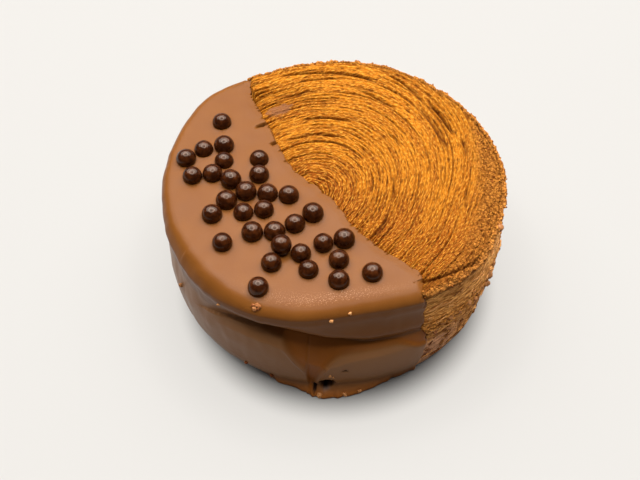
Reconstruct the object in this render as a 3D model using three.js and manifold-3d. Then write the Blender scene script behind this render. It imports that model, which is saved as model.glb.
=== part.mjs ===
// A New York roll: a round laminated pastry baked in a ring so that its layers wind up in a flat
// spiral, dipped to about half in milk chocolate and set with crisp dark chocolate pearls.
// Millimetres, +Z up, origin in the middle of the flat base, +X towards the bare half.
import * as THREE from "three";
import { mergeVertices } from "three/addons/utils/BufferGeometryUtils.js";
import Module from "manifold-3d";

const wasm = await Module();
wasm.setup();

const { lerp, smoothstep, degToRad, clamp } = THREE.MathUtils;

// Driving dimensions of the baked pastry
const ROLL_DIAMETER = 100;
const ROLL_HEIGHT = 36;
const BASE_SHARE = 0.963; // base radius as a share of the rim's
const BASE_CHAMFER = 0.8;
const CRUST_ROUNDING = 2; // width of the bare crust's round edge at the rim
const WAIST = { height: 29.5, depth: 1.3, spread: 3 }; // hollow all round under the rim
const BELLY = { height: 19, depth: 0.6, spread: 5 }; // crumbly band round the middle
const FULLER_BELLY = { at: -65, depth: 0.9, spread: 25 }; // where that band stands out more
const WALL_LAYER = 0.35; // how far each layer of dough on the wall stands out or sinks in
const SWIRL_EYE = { x: -9, y: -1 }; // the innermost turn lies off the middle, under the chocolate
const SWIRL_TURNS = 19;
const SWIRL_REACH = { near: 0.76, far: 0.94 }; // share of the radius that shows separate ridges
const SWIRL_OPENS = { from: -50, to: 45 }; // the outer turns open out between these directions
const GROOVE_DEPTH = { eye: 0.7, rim: 1.5 };
const CRUST_CRAG = 0.45; // how far crumbs stand up or sink in on the rim and the wall
const FLAKE = { long: 3.2, wide: 2.2, thick: 1.6 }; // largest crumb of crust that stands out

// Driving dimensions of the chocolate
const COAT_TOP_RISE = 0.2; // above the ridges of the swirl
const COAT_TOP_THICKNESS = 3.2;
const COAT_WALL_THICKNESS = 1.8;
const COAT_WALL_RISE = 0.4; // beyond the bare wall
const SHOULDER = { tall: 2.7, tallerLeft: 2.3, wideNear: 5.4, wideFar: 3.2 }; // round edge of the top
const COAT_FOOT = 0.5; // the chocolate stops this far above the tray
const DIP_LINE = { middle: -6.3, slant: -0.055, bow: 0.0032 };
const CREASE = { at: -149, top: 24.4, depth: 3.8, fallRight: 5.2, fallLeft: 0.0095, soft: 3 };
const FAR_CREASE = { height: 25.5, depth: 0.6, spread: 2 }; // plain line under the shoulder at the back
const SHELF = { least: 3.4, most: 8 }; // how far below the crease the wall starts to lean in
const FLOW = { out: 1.2, step: 0.9 }; // two thick flows low on the wall and their raised edges
const FOLD = { at: -130, halfGap: 0.5 }; // where they meet
const VALLEY = { at: -127, spread: 9, depth: 1.8, sag: 2.4 }; // hollow above the fold
const FOOT_LIP = { at: -124, left: 8, right: 13, most: 2.8, height: 3.6 }; // pool on the tray
const FOOT_EDGE = { out: 1.1, drawnIn: -1, tuck: 1 }; // edge beside the pool and round the back
const PIT = { at: -124.3, height: 4.4, across: 4.8, tall: 4.6, depth: 3 }; // burst bubble by the fold

// Driving dimensions of the pearls
const PEARL_DIAMETER = 5.9;
const PEARL_UNEVENNESS = 0.05;
const PEARL_SUNK = { least: 0.32, most: 0.46 }; // share of the diameter below the chocolate
const PERCHED_PEARL = { number: 22, lift: 1.5 }; // one pearl lies up against its neighbours

// Clearance between pieces that touch
const FIT_GAP = 0.3;
const PEARL_GAP = 0.1;

// The rim isn't a true circle: where it stands out or sinks in, in degrees and millimetres
const RIM_SWELLS = [
  { at: -112, by: -4.5, spread: 24 },
  { at: -68, by: 0.6, spread: 10 },
  { at: -25, by: 0.7, spread: 20 },
  { at: 50, by: 0.6, spread: 30 },
  { at: 109, by: 2.2, spread: 15 },
  { at: 158, by: -0.5, spread: 16 },
];

// Where the dip line bulges out or draws back: place along it, how far and how long
const DIP_BULGES = [
  { at: -50, by: -7, spread: 5 },
  { at: -38.5, by: 1.2, spread: 6 },
  { at: -6, by: 1.6, spread: 8 },
  { at: 12, by: -1.2, spread: 7 },
  { at: 29.5, by: -2, spread: 1.6 },
  { at: 51, by: 2.5, spread: 5 },
];

// Crumbs of crust that stand out most: direction in degrees, height and share of the largest size
const FLAKES = [
  { at: -52, z: 34.2, size: 1 },
  { at: -44, z: 20.5, size: 0.85 },
  { at: -47, z: 17, size: 0.75 },
  { at: 49, z: 35, size: 0.8 },
  { at: -9, z: 34.6, size: 0.7 },
  { at: -66, z: 33.6, size: 0.75 },
  { at: -78, z: 32.6, size: 0.8 },
  { at: -84, z: 19, size: 0.9 },
  { at: -72, z: 17.5, size: 0.7 },
  { at: 22, z: 34.4, size: 0.65 },
  { at: 71, z: 34.8, size: 0.7 },
];

// Where the pearls lie on the chocolate, each across and along the dip line
const PEARL_PLACES = [
  [-16.9, 36.5], [-26.7, 29.5], [-21.3, 27.1], [-32.9, 28.8],
  [-24.2, 22.5], [-34.3, 21.8], [-28.4, 20.1], [-14.7, 17.5],
  [-17.8, 12.0], [-25.6, 14.0], [-24.2, 8.3], [-19.9, 5.0],
  [-14.6, 0.9], [-29.7, 8.5], [-36.3, 6.2], [-28.4, 2.3],
  [-23.0, 0.0], [-12.1, -8.6], [-29.7, -5.4], [-18.9, -9.2],
  [-24.2, -9.7], [-25.2, -13.9], [-38.5, -4.1], [-14.7, -19.3],
  [-10.0, -20.8], [-22.7, -18.1], [-30.1, -16.9], [-23.1, -24.2],
  [-14.5, -26.1], [-18.0, -31.6], [-9.1, -34.4], [-37.4, -22.2],
];

// Colours and surfaces
const CRUST = { color: 0xc9822f, roughness: 0.75, metalness: 0 };
const MILK_CHOCOLATE = { color: 0xa26a48, roughness: 0.4, metalness: 0 };
const DARK_CHOCOLATE = { color: 0x43261c, roughness: 0.35, metalness: 0 };

// Repeatable draws between 0 and 1
function draws(seed) {
  let state = seed;
  return () => {
    state = (state * 1664525 + 1013904223) % 4294967296;
    return state / 4294967296;
  };
}

const bell = (value, middle, spread) => Math.exp(-(((value - middle) / spread) ** 2));

// Degrees from one direction to another, between -180 and 180
const swing = (to, from) => ((((to - from) % 360) + 540) % 360) - 180;

const around = (angle, radius, z) =>
  new THREE.Vector3(radius * Math.cos(degToRad(angle)), radius * Math.sin(degToRad(angle)), z);

function solidOf(geometry) {
  geometry.deleteAttribute("normal");
  geometry.deleteAttribute("uv");
  const welded = mergeVertices(geometry, 1e-5);
  const vertProperties = new Float32Array(welded.attributes.position.array);
  const triVerts = new Uint32Array(welded.index.array);
  return new wasm.Manifold(new wasm.Mesh({ numProp: 3, vertProperties, triVerts }));
}

// A turned body whose rings run from the axis below, up the side and in to the axis on top.
// Each ring gives the place of its point at an angle in degrees.
function turned(rings, segments) {
  const profile = rings.map((ring, level) => new THREE.Vector2(1, level));
  const geometry = new THREE.LatheGeometry(profile, segments);
  const position = geometry.attributes.position;
  for (let step = 0; step <= segments; step += 1) {
    const around360 = ((step % segments) * 360) / segments;
    const angle = swing(around360, 0);
    rings.forEach((ring, level) => {
      const place = ring(angle);
      position.setXYZ(step * rings.length + level, place.x, place.y, place.z);
    });
  }
  return solidOf(geometry);
}

// The plain outline at a height: uneven at the rim, rounder and narrower towards the base
function outlineRadius(angle, z) {
  const up = z / ROLL_HEIGHT;
  const swells = RIM_SWELLS.map((swell) => swell.by * bell(swing(angle, swell.at), 0, swell.spread));
  const uneven = swells.reduce((sum, by) => sum + by, 0);
  return (ROLL_DIAMETER / 2) * lerp(BASE_SHARE, 1, up) + uneven * lerp(0.1, 1, smoothstep(z, 8, 32));
}

const rimRadius = (angle) => outlineRadius(angle, ROLL_HEIGHT);

// The baked wall: hollow under the rim and full round the middle
function wallRadius(angle, z) {
  const waist = WAIST.depth * bell(z, WAIST.height, WAIST.spread);
  const fuller = FULLER_BELLY.depth * bell(swing(angle, FULLER_BELLY.at), 0, FULLER_BELLY.spread);
  const belly = (BELLY.depth + fuller) * bell(z, BELLY.height, BELLY.spread);
  return outlineRadius(angle, z) - waist + belly;
}

// The crease falls away to both sides of its highest place and stays level round the back
function creaseHeight(angle) {
  const past = swing(angle, CREASE.at);
  const falls = CREASE.fallRight * smoothstep(past, 10, 42) + CREASE.fallLeft * clamp(past, -26, 0) ** 2;
  const sag = VALLEY.sag * bell(swing(angle, VALLEY.at), 0, VALLEY.spread);
  return lerp(CREASE.top - falls - sag, FAR_CREASE.height, smoothstep(-past, 40, 70));
}

// Top edge of the two flows, which runs down into the fold between them
function flowEdge(angle) {
  const past = swing(angle, FOLD.at);
  const away = Math.max(Math.abs(past) - FOLD.halfGap, 0);
  const right = 17.8 * (1 - Math.exp(-away / 4)) - 3.4 * smoothstep(away, 28, 38);
  const left = 10.5 * (1 - Math.exp(-away / 0.25)) + 1.35 * Math.min(away, 9) + 0.2 * clamp(away - 9, 0, 12);
  return past > 0 ? right : left;
}

// How far the wall is drawn in at the crease and on the shelf that leads to it from below
function creaseDepth(angle, z) {
  const past = swing(angle, CREASE.at);
  const height = creaseHeight(angle);
  const hollow = bell(swing(angle, VALLEY.at), 0, VALLEY.spread);
  const fade = smoothstep(past, -26, 8) * (1 - 0.6 * smoothstep(past, 20, 56));
  const most = (CREASE.depth + VALLEY.depth * hollow) * fade;
  const step = Math.min(FLOW.step, most);
  const reach = lerp(SHELF.least, SHELF.most, hollow);
  const lean = clamp((z - height) / reach + 1, 0, 1);
  const shelf = step * smoothstep(z - flowEdge(angle), 0, 2) + (most - step) * lean;
  const near = z > height ? most * bell(z, height, CREASE.soft) : shelf;
  const far = bell(z, FAR_CREASE.height, FAR_CREASE.spread) * smoothstep(-past, 40, 70);
  return near + FAR_CREASE.depth * far;
}

// The dipped wall: full where the flows are, drawn in at the crease
function dippedRadius(angle, z) {
  const flow = FLOW.out * (1 - smoothstep(z, 14, 27));
  return outlineRadius(angle, z) + COAT_WALL_RISE + flow - creaseDepth(angle, z);
}

// The outside of the chocolate's wall, tucked in low down and run out in a thin lip at the foot
function coatRadius(angle, z) {
  const past = swing(angle, FOOT_LIP.at);
  const pool = FOOT_LIP.most * bell(past, 0, past > 0 ? FOOT_LIP.right : FOOT_LIP.left);
  const edge = lerp(FOOT_EDGE.drawnIn, FOOT_EDGE.out, smoothstep(past, -28, -14));
  const lip = (edge + pool) * (1 - smoothstep(z, COAT_FOOT, FOOT_LIP.height)) ** 1.4;
  const tuck = FOOT_EDGE.tuck * (1 - smoothstep(z, 0, 7));
  return dippedRadius(angle, z) + lip - tuck;
}

// How far out a point of the spiral lies, as a share of the way from the eye to the rim
function swirlShare(wound, angle) {
  const opened = smoothstep(angle, SWIRL_OPENS.from, SWIRL_OPENS.to);
  const closedAgain = smoothstep(angle, 100, 175);
  const wider = (SWIRL_REACH.far - SWIRL_REACH.near) * opened * (1 - closedAgain);
  return wound * (SWIRL_REACH.near + wider * wound);
}

function onTop(angle, share, z) {
  const place = around(angle, rimRadius(angle) * share, z);
  place.x += SWIRL_EYE.x * (1 - share);
  place.y += SWIRL_EYE.y * (1 - share);
  return place;
}

// The line the roll was dipped to, bowed towards the chocolate and uneven
function dipLine(y) {
  const bulges = DIP_BULGES.map((bulge) => bulge.by * bell(y, bulge.at, bulge.spread));
  const uneven = bulges.reduce((sum, by) => sum + by, 0);
  return DIP_LINE.middle + DIP_LINE.slant * y + DIP_LINE.bow * y ** 2 + uneven;
}

// Everything on the dipped side of that line, above a height
function dippedSide(shift, floor) {
  const reach = ROLL_DIAMETER * 0.6;
  const steps = 54;
  const outline = new THREE.Shape();
  outline.moveTo(-reach, reach);
  outline.lineTo(-reach, -reach);
  for (let step = 0; step <= steps; step += 1) {
    const y = lerp(-reach, reach, step / steps);
    outline.lineTo(dipLine(y) + shift, y);
  }
  const block = new THREE.ExtrudeGeometry(outline, { depth: ROLL_HEIGHT * 2, bevelEnabled: false });
  return solidOf(block.translate(0, 0, floor));
}

// The bare pastry: crumbly wall, rounded crust and a top wound in one spiral of ridges
function barePastry() {
  const segments = 90;
  const draw = draws(11);
  const crags = [];
  const crag = (level, angle) => {
    const key = level * 1000 + Math.round(angle);
    crags[key] = crags[key] ?? CRUST_CRAG * (2 * draw() - 1);
    return crags[key];
  };
  const wallLevels = [1.3, 5, 9, 12.5, 16, 19.5, 23, 26.5, 30, 32.6];
  const rings = [() => new THREE.Vector3(0, 0, 0)];
  rings.push((angle) => around(angle, wallRadius(angle, 0) - BASE_CHAMFER, 0));
  wallLevels.forEach((z, level) => {
    const layer = level % 2 === 0 ? WALL_LAYER : -WALL_LAYER;
    rings.push((angle) => around(angle, wallRadius(angle, z) + layer + crag(level, angle), z));
  });
  rings.push((angle) => {
    const radius = rimRadius(angle) - CRUST_ROUNDING * 0.1;
    return around(angle, radius + crag(20, angle), ROLL_HEIGHT - CRUST_ROUNDING * 0.5);
  });
  rings.push((angle) => {
    return around(angle, rimRadius(angle) - CRUST_ROUNDING, ROLL_HEIGHT + crag(21, angle) / 2);
  });
  rings.push((angle) => {
    const halfway = (swirlShare(1, angle) + 1 - CRUST_ROUNDING / rimRadius(angle)) / 2;
    return onTop(angle, halfway, ROLL_HEIGHT + crag(22, angle) - CRUST_CRAG / 2);
  });
  // The spiral gains one turn over the bare half and is led back out of sight, under the chocolate
  const windUp = (angle) => (angle / 180) * (1 - smoothstep(Math.abs(angle), 115, 180));
  for (let line = 2 * SWIRL_TURNS; line >= 1; line -= 1) {
    rings.push((angle) => {
      const wound = clamp((line + windUp(angle)) / (2 * SWIRL_TURNS + 1), 0, 1);
      const groove = line % 2 === 1 ? lerp(GROOVE_DEPTH.eye, GROOVE_DEPTH.rim, wound) : 0;
      const uneven = 0.5 + 0.3 * Math.sin(line * 2.4) + 0.2 * Math.sin(degToRad(angle * 3) + line);
      return onTop(angle, swirlShare(wound, angle), ROLL_HEIGHT - groove * (0.45 + 0.55 * uneven));
    });
  }
  rings.push(() => new THREE.Vector3(SWIRL_EYE.x, SWIRL_EYE.y, ROLL_HEIGHT - GROOVE_DEPTH.eye));
  return turned(rings, segments);
}

// One crumb of crust, half sunk in the wall and turned its own way
function flake({ at, z, size }) {
  const chip = new THREE.IcosahedronGeometry(0.5, 0);
  chip.scale(FLAKE.long * size, FLAKE.wide * size, FLAKE.thick * size);
  chip.rotateX(z);
  chip.translate(wallRadius(at, z) - FLAKE.long * size * 0.2, 0, z);
  chip.rotateZ(degToRad(at));
  return solidOf(chip);
}

// The pastry inside the chocolate, set in all round by the coat's thickness and a clearance
function coveredCore(clearance, base) {
  const inset = COAT_WALL_THICKNESS + clearance;
  const top = ROLL_HEIGHT + COAT_TOP_RISE - COAT_TOP_THICKNESS - clearance;
  const levels = [
    () => base,
    (angle) => creaseHeight(angle) / 2,
    (angle) => creaseHeight(angle) - 2.6,
    (angle) => creaseHeight(angle),
    (angle) => creaseHeight(angle) + 2.8,
    () => top - 2,
  ];
  const rings = [() => new THREE.Vector3(0, 0, base)];
  levels.forEach((level) => {
    rings.push((angle) => {
      const z = level(angle);
      return around(angle, dippedRadius(angle, Math.max(z, 0)) - inset, z);
    });
  });
  rings.push((angle) => around(angle, rimRadius(angle) - inset - 2.5, top));
  rings.push(() => new THREE.Vector3(0, 0, top));
  return turned(rings, 50);
}

// The outside of the chocolate as if it went all round
function coatOutside() {
  const top = ROLL_HEIGHT + COAT_TOP_RISE;
  const levels = [-2, 0.6, 1.6, 4].map((z) => () => z);
  [0.25, 0.5, 0.75].forEach((share) => {
    levels.push((angle) => lerp(4, creaseHeight(angle) - 2.6, share));
  });
  [-2.6, -1.2, 0, 1.4, 2.8, 4.8].forEach((side) => {
    levels.push((angle) => creaseHeight(angle) + side);
  });
  const tall = (angle) => SHOULDER.tall + SHOULDER.tallerLeft * bell(swing(angle, 180), 0, 22);
  const wide = (angle) => {
    const far = smoothstep(Math.sin(degToRad(angle)), -0.3, 0.8);
    return lerp(SHOULDER.wideNear, SHOULDER.wideFar, far);
  };
  const rings = [() => new THREE.Vector3(0, 0, -2)];
  levels.forEach((level) => {
    rings.push((angle) => around(angle, coatRadius(angle, Math.max(level(angle), 0)), level(angle)));
  });
  [0, 0.3, 0.6, 0.85, 1].forEach((over) => {
    rings.push((angle) => {
      const inward = wide(angle) * (1 - (1 - over ** 1.4) ** 0.45);
      const z = top - tall(angle) * (1 - over);
      return around(angle, coatRadius(angle, z) - inward, z);
    });
  });
  rings.push(() => new THREE.Vector3(0, 0, top));
  return turned(rings, 90);
}

// The burst bubble in the chocolate's wall, a flattened hollow that reaches into the pastry
function burstBubble() {
  const hollow = new THREE.IcosahedronGeometry(1, 1);
  hollow.scale(PIT.depth, PIT.across / 2, PIT.tall / 2);
  hollow.translate(coatRadius(PIT.at, PIT.height), 0, PIT.height);
  hollow.rotateZ(degToRad(PIT.at));
  return solidOf(hollow);
}

// Each pearl's size and depth are drawn, then any that would touch are eased apart
function settledPearls() {
  const draw = draws(5);
  const pearls = PEARL_PLACES.map(([x, y]) => {
    const radius = (PEARL_DIAMETER / 2) * (1 + PEARL_UNEVENNESS * (2 * draw() - 1));
    const sunk = 2 * radius * lerp(PEARL_SUNK.least, PEARL_SUNK.most, draw());
    const z = ROLL_HEIGHT + COAT_TOP_RISE + radius - sunk;
    return { radius, place: new THREE.Vector3(x, y, z) };
  });
  pearls[PERCHED_PEARL.number - 1].place.z += PERCHED_PEARL.lift;
  for (let pass = 0; pass < 300; pass += 1) {
    pearls.forEach((one, index) => {
      pearls.slice(index + 1).forEach((other) => {
        const between = other.place.clone().sub(one.place);
        const short = one.radius + other.radius + PEARL_GAP - between.length();
        if (short > 0) {
          const push = between.setZ(0).setLength(short / 2 + 0.01);
          one.place.sub(push);
          other.place.add(push);
        }
      });
    });
  }
  return pearls;
}

const pearlForm = (radius) => new THREE.IcosahedronGeometry(radius, 1);

function meshOf(name, geometry, look) {
  const mesh = new THREE.Mesh(geometry, new THREE.MeshStandardMaterial(look));
  mesh.name = name;
  return mesh;
}

function geometryOf(solid) {
  const { vertProperties, triVerts } = solid.getMesh();
  const geometry = new THREE.BufferGeometry();
  geometry.setAttribute("position", new THREE.BufferAttribute(new Float32Array(vertProperties), 3));
  geometry.setIndex(new THREE.BufferAttribute(new Uint32Array(triVerts), 1));
  geometry.computeVertexNormals();
  return geometry;
}

const pearls = settledPearls();
const bubble = burstBubble();

const baked = FLAKES.reduce((body, place) => body.add(flake(place)), barePastry());
const bare = baked.subtract(dippedSide(FIT_GAP, -ROLL_HEIGHT / 2));
const pastry = bare.add(coveredCore(FIT_GAP, 0)).subtract(bubble);

let coat = coatOutside().intersect(dippedSide(0, COAT_FOOT)).subtract(coveredCore(0, -1));
coat = coat.subtract(bubble);
pearls.forEach(({ radius, place }) => {
  const socket = pearlForm(radius + FIT_GAP);
  coat = coat.subtract(solidOf(socket.translate(place.x, place.y, place.z)));
});

const roll = new THREE.Group();
roll.name = "new_york_roll";
roll.add(meshOf("roll", geometryOf(pastry), CRUST));
roll.add(meshOf("chocolate_coat", geometryOf(coat), MILK_CHOCOLATE));
pearls.forEach(({ radius, place }, index) => {
  const name = `pearl_${String(index + 1).padStart(2, "0")}`;
  const pearl = meshOf(name, pearlForm(radius), DARK_CHOCOLATE);
  pearl.position.copy(place);
  roll.add(pearl);
});

export default roll;
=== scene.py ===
import math

import bpy
import numpy as np
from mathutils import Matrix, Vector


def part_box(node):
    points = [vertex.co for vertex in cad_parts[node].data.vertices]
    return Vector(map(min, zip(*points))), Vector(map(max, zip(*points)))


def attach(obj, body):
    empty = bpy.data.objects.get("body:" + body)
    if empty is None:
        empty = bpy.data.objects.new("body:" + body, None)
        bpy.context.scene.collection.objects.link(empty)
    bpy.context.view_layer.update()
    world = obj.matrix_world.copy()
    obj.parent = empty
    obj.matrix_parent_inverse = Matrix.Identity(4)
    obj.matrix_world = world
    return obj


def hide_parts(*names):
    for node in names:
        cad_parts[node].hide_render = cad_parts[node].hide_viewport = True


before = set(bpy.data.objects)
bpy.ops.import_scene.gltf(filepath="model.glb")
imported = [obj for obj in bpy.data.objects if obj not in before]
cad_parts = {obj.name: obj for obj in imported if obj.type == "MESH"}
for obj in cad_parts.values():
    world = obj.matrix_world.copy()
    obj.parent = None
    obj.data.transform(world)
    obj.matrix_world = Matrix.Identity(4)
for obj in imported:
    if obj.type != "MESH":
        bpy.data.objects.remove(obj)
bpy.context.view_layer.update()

# The roll itself: laminated dough wound into a disc and baked in a ring, so that the edges of
# its layers stand up as one tight spiral of strands, with a blistered crust at the rim and
# layers lying flat on the wall. Sizes are millimetres, turned into metres when a mesh is made.
MM = 0.001
ROLL_RADIUS = 50.0
ROLL_HEIGHT = 36.0
ARC_PER_DEGREE = ROLL_RADIUS * math.pi / 180
BASE_SHARE = 0.963
BASE_CHAMFER = 0.8
CRUST_ROUNDING = 1.5
WAIST_HEIGHT, WAIST_DEPTH, WAIST_SPREAD = 29.5, 1.3, 3.0
BELLY_HEIGHT, BELLY_DEPTH, BELLY_SPREAD = 19.0, 1.5, 5.0
BELLY_ELSEWHERE, FULLEST_AT, FULLEST_SPREAD = 0.4, -65, 25
LIP_GAP_HEIGHT, LIP_GAP_DEPTH, LIP_GAP_SPREAD = 32.8, 1.1, 0.7
# Each swell of the rim: angle in degrees, how far out, spread in degrees
RIM_SWELLS = [
    (-112, -4.5, 24),
    (-68, 0.6, 10),
    (-25, 0.7, 20),
    (50, 0.6, 30),
    (109, 2.2, 15),
    (158, -0.5, 16),
]
UNEVEN_AT_BASE, UNEVEN_FROM, UNEVEN_TO = 0.1, 8, 32
SWIRL_EYE = (-9.0, -1.0)
STRANDS = 44
STRAND_PITCH = 1.05
STRAND_UNEVEN = 0.2
CRUST_FROM = 0.98
SWIRL_REACH_NEAR, SWIRL_REACH_FAR = 0.76, 0.97
SWIRL_OPENS_FROM, SWIRL_OPENS_TO = -50, 45
STRAND_BEND, STRAND_BEND_FROM, STRAND_BEND_OVER = 0.00017, -65, 25
GROOVE_AT_EYE, GROOVE_AT_RIM = 0.8, 1.15
HOLLOW_DEPTH = 1.0
# Each long groove: middle angle, half its length in degrees, share out from the eye, its slant, depth
LONG_GROOVES = [
    (57, 26, 0.885, 0.0016, 1.3),
    (55, 21, 0.540, 0.0, 1.2),
    (65, 30, 0.416, 0.0003, 1.0),
    (70, 12, 0.750, 0.0008, 0.9),
    (33, 14, 0.750, 0.0018, 1.0),
    (26, 14, 0.900, 0.0032, 1.2),
    (2, 18, 0.785, 0.0028, 1.1),
    (4, 13, 0.855, 0.0024, 1.3),
    (-14, 6, 0.840, 0.0030, 0.9),
    (8, 9, 0.566, 0.0012, 0.9),
    (-37, 14, 0.430, 0.0, 0.8),
    (-41, 7, 0.800, -0.001, 0.7),
    (-71, 14, 0.455, -0.0015, 0.8),
    (-78, 15, 0.937, 0.0043, 1.6),
]
LONG_GROOVE_WIDTH = 0.008
WALL_LAYER_PITCH, WALL_LAYER_DEPTH = 1.45, 0.75
CRUMBLY_BAND_HEIGHT, CRUMBLY_BAND_SPREAD = 20.5, 3.6
LIP_FROM, LIP_BROWNED_BY = 32.8, 34.0
LIP_BROWNING, LIP_BROWNED_FROM, LIP_BROWNED_TO = 0.75, -72, -52
STAIN_SHARE = 0.9
WALL_EDGE = 91.2
WALL_EDGE_RUNS_BACK, WALL_EDGE_JUTS = 2.2, 1.3
DIP_MIDDLE, DIP_SLANT, DIP_BOW = -6.3, -0.055, 0.0032
# Each bulge of the dip line: place along it, how far out, spread
DIP_BULGES = [(-50.0, -7.0, 5.0), (-38.5, 1.2, 6.0), (-6.0, 1.6, 8.0), (12.0, -1.2, 7.0), (51.0, 2.5, 5.0)]
SMEAR_MIDDLE, SMEAR_LENGTH, SMEAR_WIDTH = (0.8, 32.4), 5.0, 2.3
# Each hollow in the dipped edge: place, half its length across the roll, half its width, depth
EDGE_PITS = [(-6.9, 29.5, 2.2, 0.75, 1.5), (-7.4, 21.1, 1.5, 0.7, 1.5)]
COVERED_INSET = 6.6
COVERED_DROP = 2.2
SHOULDER_DROP = 3.4


def bell(value, middle, spread):
    return np.exp(-(((value - middle) / spread) ** 2))


def swing(to, start):
    return (to - start + 180.0) % 360.0 - 180.0


def ease(value, low, high):
    share = np.clip((value - low) / (high - low), 0.0, 1.0)
    return share * share * (3.0 - 2.0 * share)


def drift(across, along, seed):
    """A smooth random field between -1 and 1 over a plane, with about one swing per unit"""
    cells = 64
    heights = np.random.default_rng(seed).uniform(-1.0, 1.0, (cells, cells))
    across, along = np.broadcast_arrays(across, along)
    low_across = np.floor(across).astype(int)
    low_along = np.floor(along).astype(int)
    part_across = ease(across - low_across, 0.0, 1.0)
    part_along = ease(along - low_along, 0.0, 1.0)
    near = heights[low_across % cells, low_along % cells] * (1 - part_across)
    near = near + heights[(low_across + 1) % cells, low_along % cells] * part_across
    far = heights[low_across % cells, (low_along + 1) % cells] * (1 - part_across)
    far = far + heights[(low_across + 1) % cells, (low_along + 1) % cells] * part_across
    return near * (1 - part_along) + far * part_along


def outline_radius(angle, z):
    """The plain outline at a height: uneven at the rim, rounder and narrower towards the base"""
    uneven = sum(by * bell(swing(angle, at), 0, spread) for at, by, spread in RIM_SWELLS)
    taper = BASE_SHARE + (1 - BASE_SHARE) * z / ROLL_HEIGHT
    fades = UNEVEN_AT_BASE + (1 - UNEVEN_AT_BASE) * ease(z, UNEVEN_FROM, UNEVEN_TO)
    return ROLL_RADIUS * taper + uneven * fades


def dip_line(y):
    """The line across the top that the roll was dipped to, bowed and a little ragged"""
    bulges = sum(by * bell(y, at, spread) for at, by, spread in DIP_BULGES)
    ragged = 0.25 * drift(y / 3.1, 0.0, 41) + 0.2 * drift(y / 1.2, 0.0, 42)
    return DIP_MIDDLE + DIP_SLANT * y + DIP_BOW * y**2 + bulges + ragged


def edge_pits(x, y):
    """Depth of the small hollows where the chocolate didn't close over a groove"""
    ragged = 0.25 * drift(x / 0.7, y / 0.7, 28)
    return sum(
        depth * (1 - ease(np.hypot((x - at_x) / length, (y - at_y) / width) + ragged, 0.2, 1.2))
        for at_x, at_y, length, width, depth in EDGE_PITS
    )


def wall_edge(z):
    """Angle of the line down the wall that the roll was dipped to, which runs back at the foot"""
    return WALL_EDGE + WALL_EDGE_RUNS_BACK * (1 - ease(z, 1, 13)) - WALL_EDGE_JUTS * bell(z, 16, 3)


def covered_wall(angle, z):
    return ease(np.abs(angle), wall_edge(z) - 0.6, wall_edge(z) + 2.6)


def wall_layers(angle, z):
    """Edges of the flat layers on the wall: how far each place is sunk between two layers, 0 to 1"""
    sag = 0.6 * drift(angle / 17, z / 7, 21) + 0.2 * drift(angle / 5, z / 3, 22)
    phase = z / WALL_LAYER_PITCH + sag
    gap = np.round(phase)
    apart = np.abs(phase - gap)
    keep = ease(drift(angle / 9, gap * 7.31, 23), -0.5, 0.5)
    return (0.65 * bell(apart, 0, 0.2) + 0.35 * (1 - 2 * apart) ** 2) * (0.3 + 0.7 * keep)


def layer_strength(z):
    """The layers stand out low on the wall and lie smooth in the hollow under the lip"""
    return 0.25 + 0.75 * (1 - ease(z, 20, 27))


def wall_crust(angle, z):
    """How crumbly the wall is: a lip at the rim, a band round the middle, a little below"""
    height = CRUMBLY_BAND_HEIGHT + 2.0 * drift(angle / 14, 0.0, 25)
    band = 0.8 * bell(z, height, CRUMBLY_BAND_SPREAD)
    return np.clip(ease(z, LIP_FROM, 34.2) + band + 0.25 * (1 - ease(z, 8, 16)), 0, 1)


def bare_radius(angle, z):
    waist = WAIST_DEPTH * bell(z, WAIST_HEIGHT, WAIST_SPREAD)
    fuller = BELLY_ELSEWHERE + (1 - BELLY_ELSEWHERE) * bell(swing(angle, FULLEST_AT), 0, FULLEST_SPREAD)
    belly = BELLY_DEPTH * fuller * bell(z, BELLY_HEIGHT, BELLY_SPREAD)
    lip_gap = LIP_GAP_DEPTH * bell(z, LIP_GAP_HEIGHT + 0.7 * drift(angle / 9, 0.0, 26), LIP_GAP_SPREAD)
    layers = WALL_LAYER_DEPTH * layer_strength(z) * wall_layers(angle, z)
    return outline_radius(angle, z) - waist + belly - lip_gap - layers


def wall_radius(angle, z):
    return bare_radius(angle, z) - COVERED_INSET * covered_wall(angle, z)


def long_grooves(angle, share):
    """Depth of the few long grooves where the winding has opened up"""
    depths = []
    for middle, half, out, slant, depth in LONG_GROOVES:
        past = swing(angle, middle)
        line = out + slant * past + 0.006 * drift(angle / 8, out * 50, 40)
        closing = 1 - ease(np.abs(past), 0.4 * half, half)
        depths.append(depth * bell(share, line, LONG_GROOVE_WIDTH) * closing)
    return np.max(depths, axis=0)


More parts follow.
